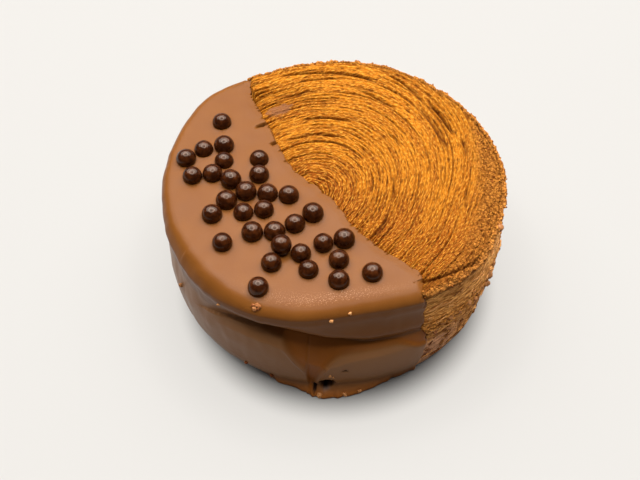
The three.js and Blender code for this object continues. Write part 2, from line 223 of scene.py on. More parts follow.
def swirl(angle, share):
    """The wound top at a share of the way from the eye to the rim: its depth and what its finish needs"""
    opened = ease(angle, SWIRL_OPENS_FROM, SWIRL_OPENS_TO)
    wider = (SWIRL_REACH_FAR - SWIRL_REACH_NEAR) * opened + 1e-3
    bent = 1 + STRAND_BEND * np.clip(STRAND_BEND_FROM - angle, 0, STRAND_BEND_OVER) ** 2
    wound = (np.sqrt(SWIRL_REACH_NEAR**2 + 4 * wider * share / bent) - SWIRL_REACH_NEAR) / (2 * wider)
    sway = 0.8 * drift(angle / 45, wound * 5, 31) + 0.12 * opened * drift(angle / 11, wound * 18, 32)
    turn = wound * STRANDS - angle / 360 + sway
    gap = np.round(turn)
    strand = np.floor(turn)
    apart = np.abs(turn - gap)
    cut = bell(apart, 0, 0.2)
    slope = (1 - 2 * apart) ** 2
    lasting = 0.7 + 0.5 * drift(angle / 80, gap * 3.17, 38)
    broken = ease(drift(angle / 15, gap * 7.31, 33), -0.5, 0.6)
    deep = np.clip(lasting * (0.3 + 0.7 * broken), 0, 1.2)
    hollow = ease(drift(angle / 26, wound * 8.5, 39), 0.25, 0.8) * opened * ease(share, 0.35, 0.6)
    long = long_grooves(angle, share)
    crumbly = CRUST_FROM + 0.07 * drift(angle / 11, wound * 9, 52) + 0.08 * (1 - ease(angle, -85, -50))
    crust = np.clip(ease(wound, crumbly, crumbly + 0.2) + ease(share, 0.955, 0.98), 0, 1)
    calm = 1 - 0.4 * crust
    most = GROOVE_AT_EYE + (GROOVE_AT_RIM - GROOVE_AT_EYE) * share
    depth = most * deep * (0.55 * cut + 0.45 * slope) + STRAND_UNEVEN * drift(angle / 24, strand * 5.77, 36)
    waves = 0.4 * drift(angle / 15, share * 8, 35) * ease(share, 0.45, 0.8) * (0.4 + 0.6 * opened)
    # groove marks where painted shade darkens the colour: the cuts between strands, the hollows and the long
    # grooves
    groove = np.clip((0.8 * cut + 0.2 * slope) * deep * calm + 0.2 * hollow + 0.7 * long, 0, 1)
    browning = 0.55 * (1 - ease(share, 0.1, 0.4)) + 0.65 * (1 - ease(angle, -75, -30))
    tone = np.clip(0.35 + 0.5 * drift(angle / 26, strand * 3.33, 37) + browning, 0, 1)
    return {
        "depth": depth * calm + HOLLOW_DEPTH * hollow * calm + long - waves,
        "groove": groove,
        "crust": crust,
        "tone": tone,
        "along": angle * ARC_PER_DEGREE * share,
        "across": turn * STRAND_PITCH,
    }


def smeared(x, y):
    """The patch where a thin smear of chocolate lies on the strands past the dipped edge"""
    away = np.hypot((x - SMEAR_MIDDLE[0]) / SMEAR_LENGTH, (y - SMEAR_MIDDLE[1]) / SMEAR_WIDTH)
    return 1 - ease(away + 0.3 * drift(x / 1.6, y / 0.9, 27), 0.7, 1.1)


def round_row(angle, radius, z):
    turn = np.radians(angle)
    return np.stack([radius * np.cos(turn), radius * np.sin(turn), np.zeros_like(turn) + z], axis=-1)


BARE_COLUMNS, HIDDEN_COLUMNS = 282, 24
WALL_ROWS, EDGE_ROWS, TOP_ROWS = 72, 6, 240
bare_angles = np.linspace(-101, 101, BARE_COLUMNS)
hidden_angles = np.linspace(106, 254, HIDDEN_COLUMNS)
roll_angles = swing(np.concatenate([bare_angles, hidden_angles]), 0)
wall_heights = np.linspace(0.5, ROLL_HEIGHT - CRUST_ROUNDING, WALL_ROWS)
edge_bends = np.radians(np.linspace(12, 90, EDGE_ROWS))
top_shares = np.linspace(1 - CRUST_ROUNDING / ROLL_RADIUS - 0.003, 0.016, TOP_ROWS)

ROLL_FIELDS = ("groove", "crust", "tone", "side", "rough", "smear", "along", "across")
roll_rows = []
roll_fields = {label: [] for label in ROLL_FIELDS}


def add_roll_row(places, **values):
    roll_rows.append(places)
    for label, rows in roll_fields.items():
        rows.append(np.zeros_like(roll_angles) + values[label])


wall_along = roll_angles * ARC_PER_DEGREE
base_radius = outline_radius(roll_angles, 0) - BASE_CHAMFER - COVERED_INSET * covered_wall(roll_angles, 0)
add_roll_row(
    round_row(roll_angles, base_radius, 0),
    groove=0.3, crust=0, tone=0.5, side=1, rough=0, smear=0, along=wall_along, across=0,
)
browned_lip = LIP_BROWNING * (1 - ease(roll_angles, LIP_BROWNED_FROM, LIP_BROWNED_TO))
by_the_dip = 1 - ease(np.abs(swing(roll_angles, -WALL_EDGE)), 6, 26)
for z in wall_heights:
    bare_wall = 1 - covered_wall(roll_angles, z)
    on_lip = ease(z, LIP_FROM, LIP_BROWNED_BY)
    layers = wall_layers(roll_angles, z) * layer_strength(z)
    add_roll_row(
        round_row(roll_angles, wall_radius(roll_angles, z), z),
        # painted shade in the gaps between wall layers, a painted shadow line under the lip, and the darker
        # near lip
        groove=np.clip(layers + 0.8 * bell(z, LIP_GAP_HEIGHT, 0.9) + browned_lip * on_lip, 0, 1),
        crust=wall_crust(roll_angles, z) * bare_wall,
        tone=0.5 + 0.5 * drift(roll_angles / 11, z / 3.7, 24),
        side=1,
        rough=bare_wall * ease(z, 0.4, 2.5) * (1 + 0.8 * bell(z, 20, 5) + 0.6 * on_lip),
        # a chocolate stain low on the wall by the dip, whose grey is a painted reflection
        smear=STAIN_SHARE * by_the_dip * (1 - ease(z, 9, 15)),
        along=wall_along,
        across=z,
    )
rim_radius = wall_radius(roll_angles, ROLL_HEIGHT - CRUST_ROUNDING)
rim_inset = COVERED_INSET * (1 - bare_wall)
rim_swirl = swirl(roll_angles, top_shares[0])
for bend in edge_bends:
    sunk = ((COVERED_DROP + SHOULDER_DROP) * (1 - bare_wall) + rim_swirl["depth"]) * np.sin(bend)
    height = ROLL_HEIGHT - CRUST_ROUNDING * (1 - np.sin(bend)) - sunk
    add_roll_row(
        round_row(roll_angles, rim_radius - CRUST_ROUNDING * (1 - np.cos(bend)), height),
        groove=np.clip(rim_swirl["groove"] * np.sin(bend) + browned_lip, 0, 1),
        crust=bare_wall,
        tone=rim_swirl["tone"],
        side=1 - np.sin(bend) ** 2,
        rough=1.6 * bare_wall,
        smear=0,
        along=wall_along,
        across=height,
    )
for share in top_shares:
    wound_top = swirl(roll_angles, share)
    place = round_row(roll_angles, (rim_radius + rim_inset * (1 - ease(share, 0.75, 0.97))) * share, 0)
    place[:, 0] += SWIRL_EYE[0] * (1 - share)
    place[:, 1] += SWIRL_EYE[1] * (1 - share)
    inside = dip_line(place[:, 1]) - place[:, 0]
    smear = smeared(place[:, 0], place[:, 1])
    depth = wound_top["depth"] * (1 + 0.9 * bell(inside, 0, 3)) * (1 - 0.5 * smear)
    depth = depth + 0.35 * ease(inside, -1.5, 0.5) + COVERED_DROP * ease(inside, 1.5, 4.5)
    depth = depth + edge_pits(place[:, 0], place[:, 1])
    place[:, 2] = ROLL_HEIGHT - depth - SHOULDER_DROP * ease(share, 0.86, 0.97) * ease(inside, 0.2, 1.6)
    bare = 1 - ease(inside, 0.2, 1.2)
    near_rim = ease(share, 0.87, 0.95)
    add_roll_row(
        place,
        groove=np.clip(wound_top["groove"] + 0.6 * browned_lip * near_rim, 0, 1),
        crust=wound_top["crust"] * bare * (1 - 0.45 * browned_lip * near_rim),
        tone=wound_top["tone"],
        side=0,
        rough=bare,
        smear=smear,
        along=wound_top["along"],
        across=wound_top["across"],
    )


def ring_faces(rows, columns, closed):
    """Quads between rows of points, each row running anticlockwise seen from above"""
    steps = columns if closed else columns - 1
    row, column = np.meshgrid(np.arange(rows - 1), np.arange(steps), indexing="ij")
    after = (column + 1) % columns
    lower, upper = row * columns, (row + 1) * columns
    corners = [lower + column, lower + after, upper + after, upper + column]
    return np.stack([corner.ravel() for corner in corners], axis=1).tolist()


def piece_of(name, places, faces, fields=None, edges=()):
    """A new object from places in millimetres, with named values on its points"""
    mesh = bpy.data.meshes.new(name)
    mesh.from_pydata((np.asarray(places) * MM).tolist(), edges, faces)
    for label, values in (fields or {}).items():
        attribute = mesh.attributes.new(label, "FLOAT", "POINT")
        attribute.data.foreach_set("value", np.ravel(values).astype(np.float32))
    mesh.shade_smooth()
    piece = bpy.data.objects.new(name, mesh)
    bpy.context.scene.collection.objects.link(piece)
    return piece


roll_columns = len(roll_angles)
eye_place = (*SWIRL_EYE, ROLL_HEIGHT - GROOVE_AT_EYE)
roll_places = np.concatenate(roll_rows + [[(0, 0, 0)], [eye_place]])
roll_faces = ring_faces(len(roll_rows), roll_columns, True)
base_pole, eye_pole = len(roll_places) - 2, len(roll_places) - 1
last_row = (len(roll_rows) - 1) * roll_columns
for column in range(roll_columns):
    after = (column + 1) % roll_columns
    roll_faces.append([base_pole, after, column])
    roll_faces.append([last_row + column, last_row + after, eye_pole])
roll_values = {label: np.append(np.concatenate(rows), [0, 0]) for label, rows in roll_fields.items()}
pastry = piece_of("roll_pastry", roll_places, roll_faces, roll_values)

# Painted highlight: a pale gold laid on the ridges along fine glint threads
RIDGE_PAINTED_HIGHLIGHT = (0.56, 0.25, 0.030, 1)
RIDGE_GOLD = (0.35, 0.112, 0.0050, 1)
RIDGE_AMBER = (0.19, 0.043, 0.0022, 1)
# Painted shade: dark brown laid in the grooves, the hollows, fine threads along the strands and the gaps
# between wall layers; it also darkens the near lip
GROOVE_SHADE_BROWN = (0.055, 0.010, 0.0008, 1)
CRUST_GOLD = (0.42, 0.158, 0.024, 1)
# Painted shade: the dark between the crust's lumps
CRUST_GAP_SHADE = (0.06, 0.012, 0.001, 1)
WALL_BEIGE = (0.94, 0.45, 0.125, 1)
# A brown for the wall's streaks, also the painted shade between the lumps of its crumbly band
WALL_BROWN_AND_GAP_SHADE = (0.27, 0.082, 0.012, 1)
WALL_AMBER = (0.92, 0.36, 0.065, 1)
SMEAR_MAUVE = (0.165, 0.064, 0.026, 1)
# A chocolate stain low on the wall, painted grey as a painted reflection
STAIN_AND_PAINTED_SHEEN = (0.72, 0.36, 0.21, 1)
LUMP_SIZE, LUMP_HEIGHT = 2.2, 0.5
BLISTER_SIZE, BLISTER_HEIGHT = 0.9, 0.6
GRAIN_SIZE, GRAIN_HEIGHT = 0.55, 0.4


def node_in(tree, kind, inputs=None, **settings):
    node = tree.nodes.new(kind)
    for key, value in settings.items():
        setattr(node, key, value)
    for key, value in (inputs or {}).items():
        if isinstance(value, bpy.types.NodeSocket):
            tree.links.new(value, node.inputs[key])
        else:
            node.inputs[key].default_value = value
    return node


def sum_of(tree, operation, first, second=0.0, third=0.0):
    return node_in(tree, "ShaderNodeMath", {0: first, 1: second, 2: third}, operation=operation).outputs[0]


def times(tree, first, second):
    return sum_of(tree, "MULTIPLY", first, second)


def remap(tree, value, low, high):
    return node_in(tree, "ShaderNodeMapRange", {0: value, 1: low, 2: high}).outputs[0]


def colour_mix(tree, share, first, second):
    return node_in(tree, "ShaderNodeMix", {0: share, 6: first, 7: second}, data_type="RGBA").outputs[2]


def finish_material(name):
    material = bpy.data.materials.new(name)
    material.use_nodes = True
    tree = material.node_tree
    place = node_in(tree, "ShaderNodeTexCoord").outputs["Object"]
    return material, tree, tree.nodes["Principled BSDF"], place


def field_of(tree, label):
    return node_in(tree, "ShaderNodeAttribute", attribute_name=label).outputs["Fac"]


def speckle(tree, place, grain, detail=3.0):
    """Soft random patches of a size in millimetres, from 0 to 1"""
    patches = {"Vector": place, "Scale": 1 / (grain * MM), "Detail": detail}
    return node_in(tree, "ShaderNodeTexNoise", patches).outputs["Fac"]


def cells_of(tree, place, size):
    """Distance from the middle of the nearest of many round lumps of a size in millimetres"""
    lumps = {"Vector": place, "Scale": 1 / (size * MM)}
    return node_in(tree, "ShaderNodeTexVoronoi", lumps, feature="F1").outputs["Distance"]


def threads_of(tree, along_scale, across_scale):
    """Fine threads that run along the strands, from the piece's own measure along and across them"""
    along = times(tree, field_of(tree, "along"), along_scale)
    across = times(tree, field_of(tree, "across"), across_scale)
    flat = node_in(tree, "ShaderNodeCombineXYZ", {"X": along, "Y": across}).outputs[0]
    return node_in(tree, "ShaderNodeTexNoise", {"Vector": flat, "Scale": 1.0, "Detail": 2.0}).outputs["Fac"]


def baked_crust():
    material, tree, shader, place = finish_material("baked_crust")
    groove, crust, tone = field_of(tree, "groove"), field_of(tree, "crust"), field_of(tree, "tone")
    threads = threads_of(tree, 0.4, 2.3)
    glints = threads_of(tree, 0.9, 2.9)
    grains = speckle(tree, place, 0.6)
    ridges = colour_mix(tree, tone, RIDGE_GOLD, RIDGE_AMBER)
    # Painted highlight: the ridges turn pale gold along the fine glint threads
    painted_highlight = times(tree, remap(tree, glints, 0.48, 0.66), 0.8)
    ridges = colour_mix(tree, painted_highlight, ridges, RIDGE_PAINTED_HIGHLIGHT)
    # Painted shade: fine dark threads along the strands stand for the fine grooves between layers
    painted_thread_shade = times(tree, remap(tree, threads, 0.48, 0.34), 0.75)
    ridges = colour_mix(tree, painted_thread_shade, ridges, GROOVE_SHADE_BROWN)
    # Painted shade in the grooves and hollows of the wound top
    wound = colour_mix(tree, groove, ridges, GROOVE_SHADE_BROWN)
    lumps = remap(tree, cells_of(tree, place, BLISTER_SIZE), 0.62, 0.3)
    specks = times(tree, remap(tree, grains, 0.35, 0.65), 0.4)
    lumps = sum_of(tree, "MULTIPLY_ADD", lumps, 0.6, specks)
    # Painted shade: dark in the gaps between the crust's lumps, gold on their tops
    blister = colour_mix(tree, lumps, CRUST_GAP_SHADE, CRUST_GOLD)
    top = colour_mix(tree, times(tree, crust, 0.85), wound, blister)
    streaks = remap(tree, threads, 0.43, 0.57)
    streaks = sum_of(tree, "MULTIPLY_ADD", streaks, 0.6, times(tree, tone, 0.4))
    walls = colour_mix(tree, streaks, WALL_BROWN_AND_GAP_SHADE, WALL_BEIGE)
    # Painted shade: dark in the gaps between the lumps of the wall's crumbly band
    wall_blister = colour_mix(tree, lumps, WALL_BROWN_AND_GAP_SHADE, WALL_AMBER)
    walls = colour_mix(tree, times(tree, crust, 0.8), walls, wall_blister)
    side = field_of(tree, "side")
    baked = colour_mix(tree, side, top, walls)
    # On the top a chocolate smear; on the wall the stain's grey is a painted reflection
    smear = colour_mix(tree, side, SMEAR_MAUVE, STAIN_AND_PAINTED_SHEEN)
    baked = colour_mix(tree, times(tree, field_of(tree, "smear"), 0.85), baked, smear)
    # Painted shade in the gaps between wall layers and in the line under the lip
    painted_gap_shade = times(tree, times(tree, groove, side), 0.75)
    tree.links.new(colour_mix(tree, painted_gap_shade, baked, GROOVE_SHADE_BROWN), shader.inputs["Base Color"])
    blisters = times(tree, times(tree, crust, lumps), 0.8)
    # In the pastry this sums fine grit for the bump only
    grit = sum_of(tree, "MULTIPLY_ADD", grains, 0.5, sum_of(tree, "ADD", threads, glints))
    rough = sum_of(tree, "ADD", grit, blisters)
    bumps = node_in(tree, "ShaderNodeBump", {"Strength": 1.0, "Distance": 0.5 * MM, "Height": rough})
    tree.links.new(bumps.outputs[0], shader.inputs["Normal"])
    shader.inputs["Roughness"].default_value = 0.6
    shader.inputs["Specular IOR Level"].default_value = 0.03
    return material


def shape_tree(name, sizes):
    """An empty tree of geometry nodes with a named input for each size"""
    tree = bpy.data.node_groups.new(name, "GeometryNodeTree")
    tree.interface.new_socket("Geometry", in_out="INPUT", socket_type="NodeSocketGeometry")
    for label, kind in sizes.items():
        tree.interface.new_socket(label, in_out="INPUT", socket_type="NodeSocket" + kind)
    tree.interface.new_socket("Geometry", in_out="OUTPUT", socket_type="NodeSocketGeometry")
    return tree, tree.nodes.new("NodeGroupInput").outputs


def end_tree(tree, geometry, material):
    """Realize Instances and Set Material close every tree"""
    real = node_in(tree, "GeometryNodeRealizeInstances", {0: geometry})
    coloured = node_in(tree, "GeometryNodeSetMaterial", {0: real.outputs[0], "Material": material})
    node_in(tree, "NodeGroupOutput", {0: coloured.outputs[0]})


def named_field(tree, label):
    return node_in(tree, "GeometryNodeInputNamedAttribute", {"Name": label}, data_type="FLOAT").outputs[0]


def lumps_in(tree, place, size, height):
    """Round lumps of a size, as a lift from the surface"""
    cells = {"Vector": place, "Scale": sum_of(tree, "DIVIDE", 1.0, size)}
    away = node_in(tree, "ShaderNodeTexVoronoi", cells, feature="F1").outputs["Distance"]
    return times(tree, sum_of(tree, "SUBTRACT", 0.5, away), height)


def swells_in(tree, place, size, height, detail):
    """Soft random swells of a size, as a lift from the surface"""
    scale = sum_of(tree, "DIVIDE", 1.0, size)
    waves = {"Vector": place, "Scale": scale, "Detail": detail}
    noise = node_in(tree, "ShaderNodeTexNoise", waves).outputs[0]
    return times(tree, sum_of(tree, "SUBTRACT", noise, 0.5), height)


def pushed_out(tree, geometry, lift):
    normal = node_in(tree, "GeometryNodeInputNormal").outputs[0]
    along = node_in(tree, "ShaderNodeVectorMath", {0: normal, "Scale": lift}, operation="SCALE")
    moved = {"Geometry": geometry, "Offset": along.outputs[0]}
    return node_in(tree, "GeometryNodeSetPosition", moved).outputs[0]


def crust_relief(material):
    """Lumps and blisters where the crust is crumbly and a fine grain everywhere that is bare"""
    labels = ("Lump size", "Lump height", "Blister size", "Blister height", "Grain size", "Grain height")
    tree, given = shape_tree("crust_relief", dict.fromkeys(labels, "Float"))
    place = node_in(tree, "GeometryNodeInputPosition").outputs[0]
    crust = named_field(tree, "crust")
    lumps = lumps_in(tree, place, given["Lump size"], given["Lump height"])
    blisters = lumps_in(tree, place, given["Blister size"], given["Blister height"])
    grain = swells_in(tree, place, given["Grain size"], given["Grain height"], 2.0)
    lift = sum_of(tree, "MULTIPLY_ADD", sum_of(tree, "ADD", lumps, blisters), crust, grain)
    lift = times(tree, lift, named_field(tree, "rough"))
    end_tree(tree, pushed_out(tree, given["Geometry"], lift), material)
    return tree


def grown(piece, tree, sizes):
    """The piece as its tree makes it, as a plain mesh"""
    modifier = piece.modifiers.new(tree.name, "NODES")
    modifier.node_group = tree
    for socket in tree.interface.items_tree:
        if socket.in_out == "INPUT" and socket.name in sizes:
            modifier[socket.identifier] = sizes[socket.name]
    evaluated = piece.evaluated_get(bpy.context.evaluated_depsgraph_get())
    mesh = bpy.data.meshes.new_from_object(evaluated)
    piece.modifiers.remove(modifier)
    piece.data = mesh
    return piece


grown(
    pastry,
    crust_relief(baked_crust()),
    {
        "Lump size": LUMP_SIZE * MM,
        "Lump height": LUMP_HEIGHT * MM,
        "Blister size": BLISTER_SIZE * MM,
        "Blister height": BLISTER_HEIGHT * MM,
        "Grain size": GRAIN_SIZE * MM,
        "Grain height": GRAIN_HEIGHT * MM,
    },
)
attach(pastry, "root")
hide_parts("roll")

# Crumbs of the crust: bits of the outermost layer that burst in the oven and stay baked on,
# thickest on the rim and in the band round the wall.
CRUMB_LEAST, CRUMB_MOST = 0.16, 0.42
CRUMB_SPACING = 0.65
CRUMBS_PER_AREA = 7.0e5
CRUMB_SEED = 3
CRUMB_BROWN = (0.18, 0.046, 0.004, 1)
CRUMB_GOLD = (0.44, 0.17, 0.026, 1)
ANY_TURN = (6.28, 6.28, 6.28)


def random_value(tree, kind, low, high, seed):
    slots = (0, 1) if kind == "FLOAT_VECTOR" else (2, 3)
    limits = {slots[0]: low, slots[1]: high, "Seed": seed}
    node = node_in(tree, "FunctionNodeRandomValue", limits, data_type=kind)
    return node.outputs[0 if kind == "FLOAT_VECTOR" else 1]


def crumb_scatter(material):
    kinds = {"Spacing": "Float", "Density": "Float", "Least": "Float", "Most": "Float", "Seed": "Int"}
    tree, given = shape_tree("crumb_scatter", kinds)
    thick = sum_of(tree, "POWER", named_field(tree, "crust"), 3.0)
    where = {"Mesh": given["Geometry"], "Distance Min": given["Spacing"], "Density Max": given["Density"]}
    where.update({"Density Factor": thick, "Seed": given["Seed"]})
    spots = node_in(tree, "GeometryNodeDistributePointsOnFaces", where, distribute_method="POISSON")
    chip = node_in(tree, "GeometryNodeMeshIcoSphere", {"Radius": 1.0, "Subdivisions": 1})
    size = random_value(tree, "FLOAT", given["Least"], given["Most"], given["Seed"])
    turn = random_value(tree, "FLOAT_VECTOR", (0, 0, 0), ANY_TURN, 7)
    stretch = random_value(tree, "FLOAT_VECTOR", (0.7, 0.7, 0.5), (1.5, 1.1, 0.9), 8)
    scale = node_in(tree, "ShaderNodeVectorMath", {0: stretch, "Scale": size}, operation="SCALE").outputs[0]
    laid = {"Points": spots.outputs[0], "Instance": chip.outputs[0], "Rotation": turn, "Scale": scale}
    bits = node_in(tree, "GeometryNodeInstanceOnPoints", laid).outputs[0]
    tint = random_value(tree, "FLOAT", 0.0, 1.0, 9)
    stored = {"Geometry": bits, "Name": "tint", "Value": tint}
    tinted = node_in(tree, "GeometryNodeStoreNamedAttribute", stored, data_type="FLOAT", domain="INSTANCE")
    end_tree(tree, tinted.outputs[0], material)
    return tree


def crumb_crust(name, dark, light):
    material, tree, shader, place = finish_material(name)
    grains = sum_of(tree, "MULTIPLY_ADD", remap(tree, speckle(tree, place, 0.4), 0.3, 0.7), 0.4, -0.2)
    share = sum_of(tree, "ADD", field_of(tree, "tint"), grains)
    tree.links.new(colour_mix(tree, share, dark, light), shader.inputs["Base Color"])
    shader.inputs["Roughness"].default_value = 0.6
    shader.inputs["Specular IOR Level"].default_value = 0.1
    return material


crumbs = bpy.data.objects.new("crust_crumbs", pastry.data.copy())
bpy.context.scene.collection.objects.link(crumbs)
crumb_finish = crumb_crust("crumb_crust", CRUMB_BROWN, CRUMB_GOLD)
grown(
    crumbs,
    crumb_scatter(crumb_finish),
    {
        "Spacing": CRUMB_SPACING * MM,
        "Density": CRUMBS_PER_AREA,
        "Least": CRUMB_LEAST * MM,
        "Most": CRUMB_MOST * MM,
        "Seed": CRUMB_SEED,
    },
)
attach(crumbs, "root")

# Flakes of the wall: edges of dough layers that came loose against the ring and baked hard. They
# lie along the wall as thin ragged strips, one piece with the wall at their backs.
FLAKES = 620
FLAKE_SHORTEST, FLAKE_LONGEST = 1.6, 6.0
FLAKE_LOWEST, FLAKE_HIGHEST = 2.0, 28.0
FLAKE_HALF_TALL = 0.38
FLAKE_STEP = 0.5
FLAKE_THICKNESS, FLAKE_CRAG_SIZE, FLAKE_CRAG_DEPTH = 0.9, 0.6, 0.3
FLAKE_SEED = 17
FLAKE_BROWN = (0.14, 0.040, 0.006, 1)
FLAKE_BEIGE = (0.66, 0.31, 0.095, 1)


def flake_paths(count, seed):
    """A path along the bare wall for each flake, with its half height at each point and its tint"""
    draw = np.random.default_rng(seed)
    places, widths, tints, edges = [], [], [], []
    for _ in range(count):
        length = FLAKE_SHORTEST + (FLAKE_LONGEST - FLAKE_SHORTEST) * draw.random() ** 2
        steps = max(int(length / FLAKE_STEP), 5)
        along = np.linspace(-0.5, 0.5, steps)
        angle = draw.uniform(-89, 89) + along * length / ARC_PER_DEGREE
        level = FLAKE_LOWEST + (FLAKE_HIGHEST - FLAKE_LOWEST) * draw.random() ** 1.3
        height = level + draw.normal(0, 0.6) * along + 0.15 * drift(angle / 2.5, level, 61)
        taper = np.sqrt(np.clip(1 - (2 * along) ** 2, 0.03, 1))
        thin = taper * (0.75 + 0.4 * drift(angle / 1.1, level * 3, 62))
        first = sum(len(row) for row in places)
        places.append(round_row(angle, wall_radius(angle, height) + draw.uniform(0.0, 0.35), height))
        widths.append(FLAKE_HALF_TALL * draw.uniform(0.55, 1.25) * thin)
        tints.append(np.full(steps, draw.random()))
        edges += [(first + step, first + step + 1) for step in range(steps - 1)]
    return np.concatenate(places), np.concatenate(widths), np.concatenate(tints), edges


def flake_strips(material):
    kinds = {"Thickness": "Float", "Crag size": "Float", "Crag depth": "Float"}
    tree, given = shape_tree("flake_strips", kinds)
    paths = node_in(tree, "GeometryNodeMeshToCurve", {"Mesh": given["Geometry"]}).outputs[0]
    upright = node_in(tree, "GeometryNodeSetCurveNormal", {"Curve": paths}, mode="Z_UP").outputs[0]
    ring = node_in(tree, "GeometryNodeCurvePrimitiveCircle", {"Resolution": 6, "Radius": 1.0}).outputs[0]
    flat = node_in(tree, "ShaderNodeCombineXYZ", {"X": given["Thickness"], "Y": 1.0, "Z": 1.0}).outputs[0]
    section = node_in(tree, "GeometryNodeTransform", {"Geometry": ring, "Scale": flat}).outputs[0]
    tall = named_field(tree, "half_tall")
    strip = {"Curve": upright, "Profile Curve": section, "Scale": tall, "Fill Caps": True}
    strips = node_in(tree, "GeometryNodeCurveToMesh", strip).outputs[0]
    place = node_in(tree, "GeometryNodeInputPosition").outputs[0]
    crags = lumps_in(tree, place, given["Crag size"], given["Crag depth"])
    end_tree(tree, pushed_out(tree, strips, crags), material)
    return tree


flake_places, flake_widths, flake_tints, flake_edges = flake_paths(FLAKES, FLAKE_SEED)
flake_values = {"half_tall": flake_widths * MM, "tint": flake_tints}
flakes = piece_of("wall_flakes", flake_places, [], flake_values, flake_edges)
flake_finish = crumb_crust("flake_crust", FLAKE_BROWN, FLAKE_BEIGE)
grown(
    flakes,
    flake_strips(flake_finish),
    {
        "Thickness": FLAKE_THICKNESS,
        "Crag size": FLAKE_CRAG_SIZE * MM,
        "Crag depth": FLAKE_CRAG_DEPTH * MM,
    },
)
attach(flakes, "root")

# The chocolate: a thick coat of milk chocolate that the roll was dipped into, set with a soft
# shoulder, a crease under it, two thick flows that meet in a fold, and a thin lip at the foot.
COAT_TOP = ROLL_HEIGHT + 0.2
COAT_RISE = 0.4
COAT_INSIDE = 5.4
COAT_FOOT = 0.35
SHOULDER_TALL, SHOULDER_TALLER_LEFT = 2.7, 2.3
SHOULDER_WIDE_NEAR, SHOULDER_WIDE_FAR = 5.4, 3.2
EDGE_NOTCH, EDGE_THIN, EDGE_DROP = 1.2, 0.25, 3.2
BROW_HEIGHT, BROW_DEPTH, BROW_SPREAD = 31.0, 0.3, 1.6
CREASE_AT, CREASE_TOP, CREASE_DEPTH = -149, 24.4, 3.8
CREASE_FALL_RIGHT, CREASE_FALL_LEFT = 5.2, 0.0095
CREASE_SOFT_LEFT, CREASE_SOFT_RIGHT = 3.6, 2.4
SHELF_LEAST, SHELF_MOST = 3.4, 8.0
FAR_CREASE_HEIGHT, FAR_CREASE_DEPTH = 25.5, 0.6
FLOW_OUT, FLOW_STEP = 1.2, 0.9
RIGHT_FLOW_TOP, RIGHT_FLOW_CURVE, RIGHT_FLOW_FALL = 17.8, 4.0, 3.4
LEFT_FLOW_STEP, LEFT_FLOW_CURVE = 10.5, 0.25
LEFT_FLOW_RISE, LEFT_FLOW_BEND, LEFT_FLOW_REST = 1.35, 9, 0.2
FOLD_AT, FOLD_HALF_GAP = -130.0, 0.5
FOLD_DEPTH, FOLD_SAG, FOLD_RIDGE = 1.8, 2.4, 0.4
FOLD_MIDDLE, FOLD_SPREAD = FOLD_AT + 3, 9
FOOT_AT, FOOT_SPREAD_LEFT, FOOT_SPREAD_RIGHT, FOOT_HEIGHT = -124, 8, 13, 3.6
FOOT_LEAST, FOOT_MOST, FOOT_TUCK, FOOT_DRAWN_LEFT = 1.1, 2.8, 1.0, 1.0
FOOT_ENDS = -104
# Each pit in the wall of the coat: angle, height, half its width, half its height, depth
WALL_PITS = [
    (-124.3, 4.4, 2.4, 2.3, 3.4),
    (-128.3, 2.6, 0.5, 1.8, 0.9),
    (-118.4, 11.0, 0.9, 0.45, 0.7),
]
# Where the painted sparkle lies on the near shoulder, and how far it spreads
PAINTED_SPARKLE_AT, PAINTED_SPARKLE_SPREAD = -122, 24
PEARLS = 32
COAT_COLUMNS = 460
COAT_WALL_ROWS, COAT_SHOULDER_ROWS, COAT_TOP_ROWS = 84, 18, 96


def flow_edge(angle):
    """Height of the top edge of the two lower flows, which runs down into the fold between them"""
    past = swing(angle, FOLD_AT)
    right = np.maximum(past - FOLD_HALF_GAP, 0)
    left = np.maximum(-past - FOLD_HALF_GAP, 0)
    right_edge = RIGHT_FLOW_TOP * (1 - np.exp(-right / RIGHT_FLOW_CURVE))
    right_edge = right_edge - RIGHT_FLOW_FALL * ease(right, 28, 38)
    left_edge = LEFT_FLOW_STEP * (1 - np.exp(-left / LEFT_FLOW_CURVE))
    left_edge = left_edge + LEFT_FLOW_RISE * np.clip(left, 0, LEFT_FLOW_BEND)
    left_edge = left_edge + LEFT_FLOW_REST * np.clip(left - LEFT_FLOW_BEND, 0, 12)
    return np.where(past > 0, right_edge, left_edge)


def above_flow(angle, z):
    """Distance from the edge of the lower flows, square to that edge"""
    steep = (flow_edge(angle + 0.2) - flow_edge(angle - 0.2)) / (0.4 * ARC_PER_DEGREE)
    return (z - flow_edge(angle)) / np.sqrt(1 + steep**2)


def crease_height(angle):
    """Height of the crease, which sags at the fold and falls away to both sides"""
    past = swing(angle, CREASE_AT)
    falls = CREASE_FALL_RIGHT * ease(past, 10, 42) + CREASE_FALL_LEFT * np.minimum(past, 0) ** 2
    return CREASE_TOP - FOLD_SAG * bell(swing(angle, FOLD_MIDDLE), 0, FOLD_SPREAD) - falls


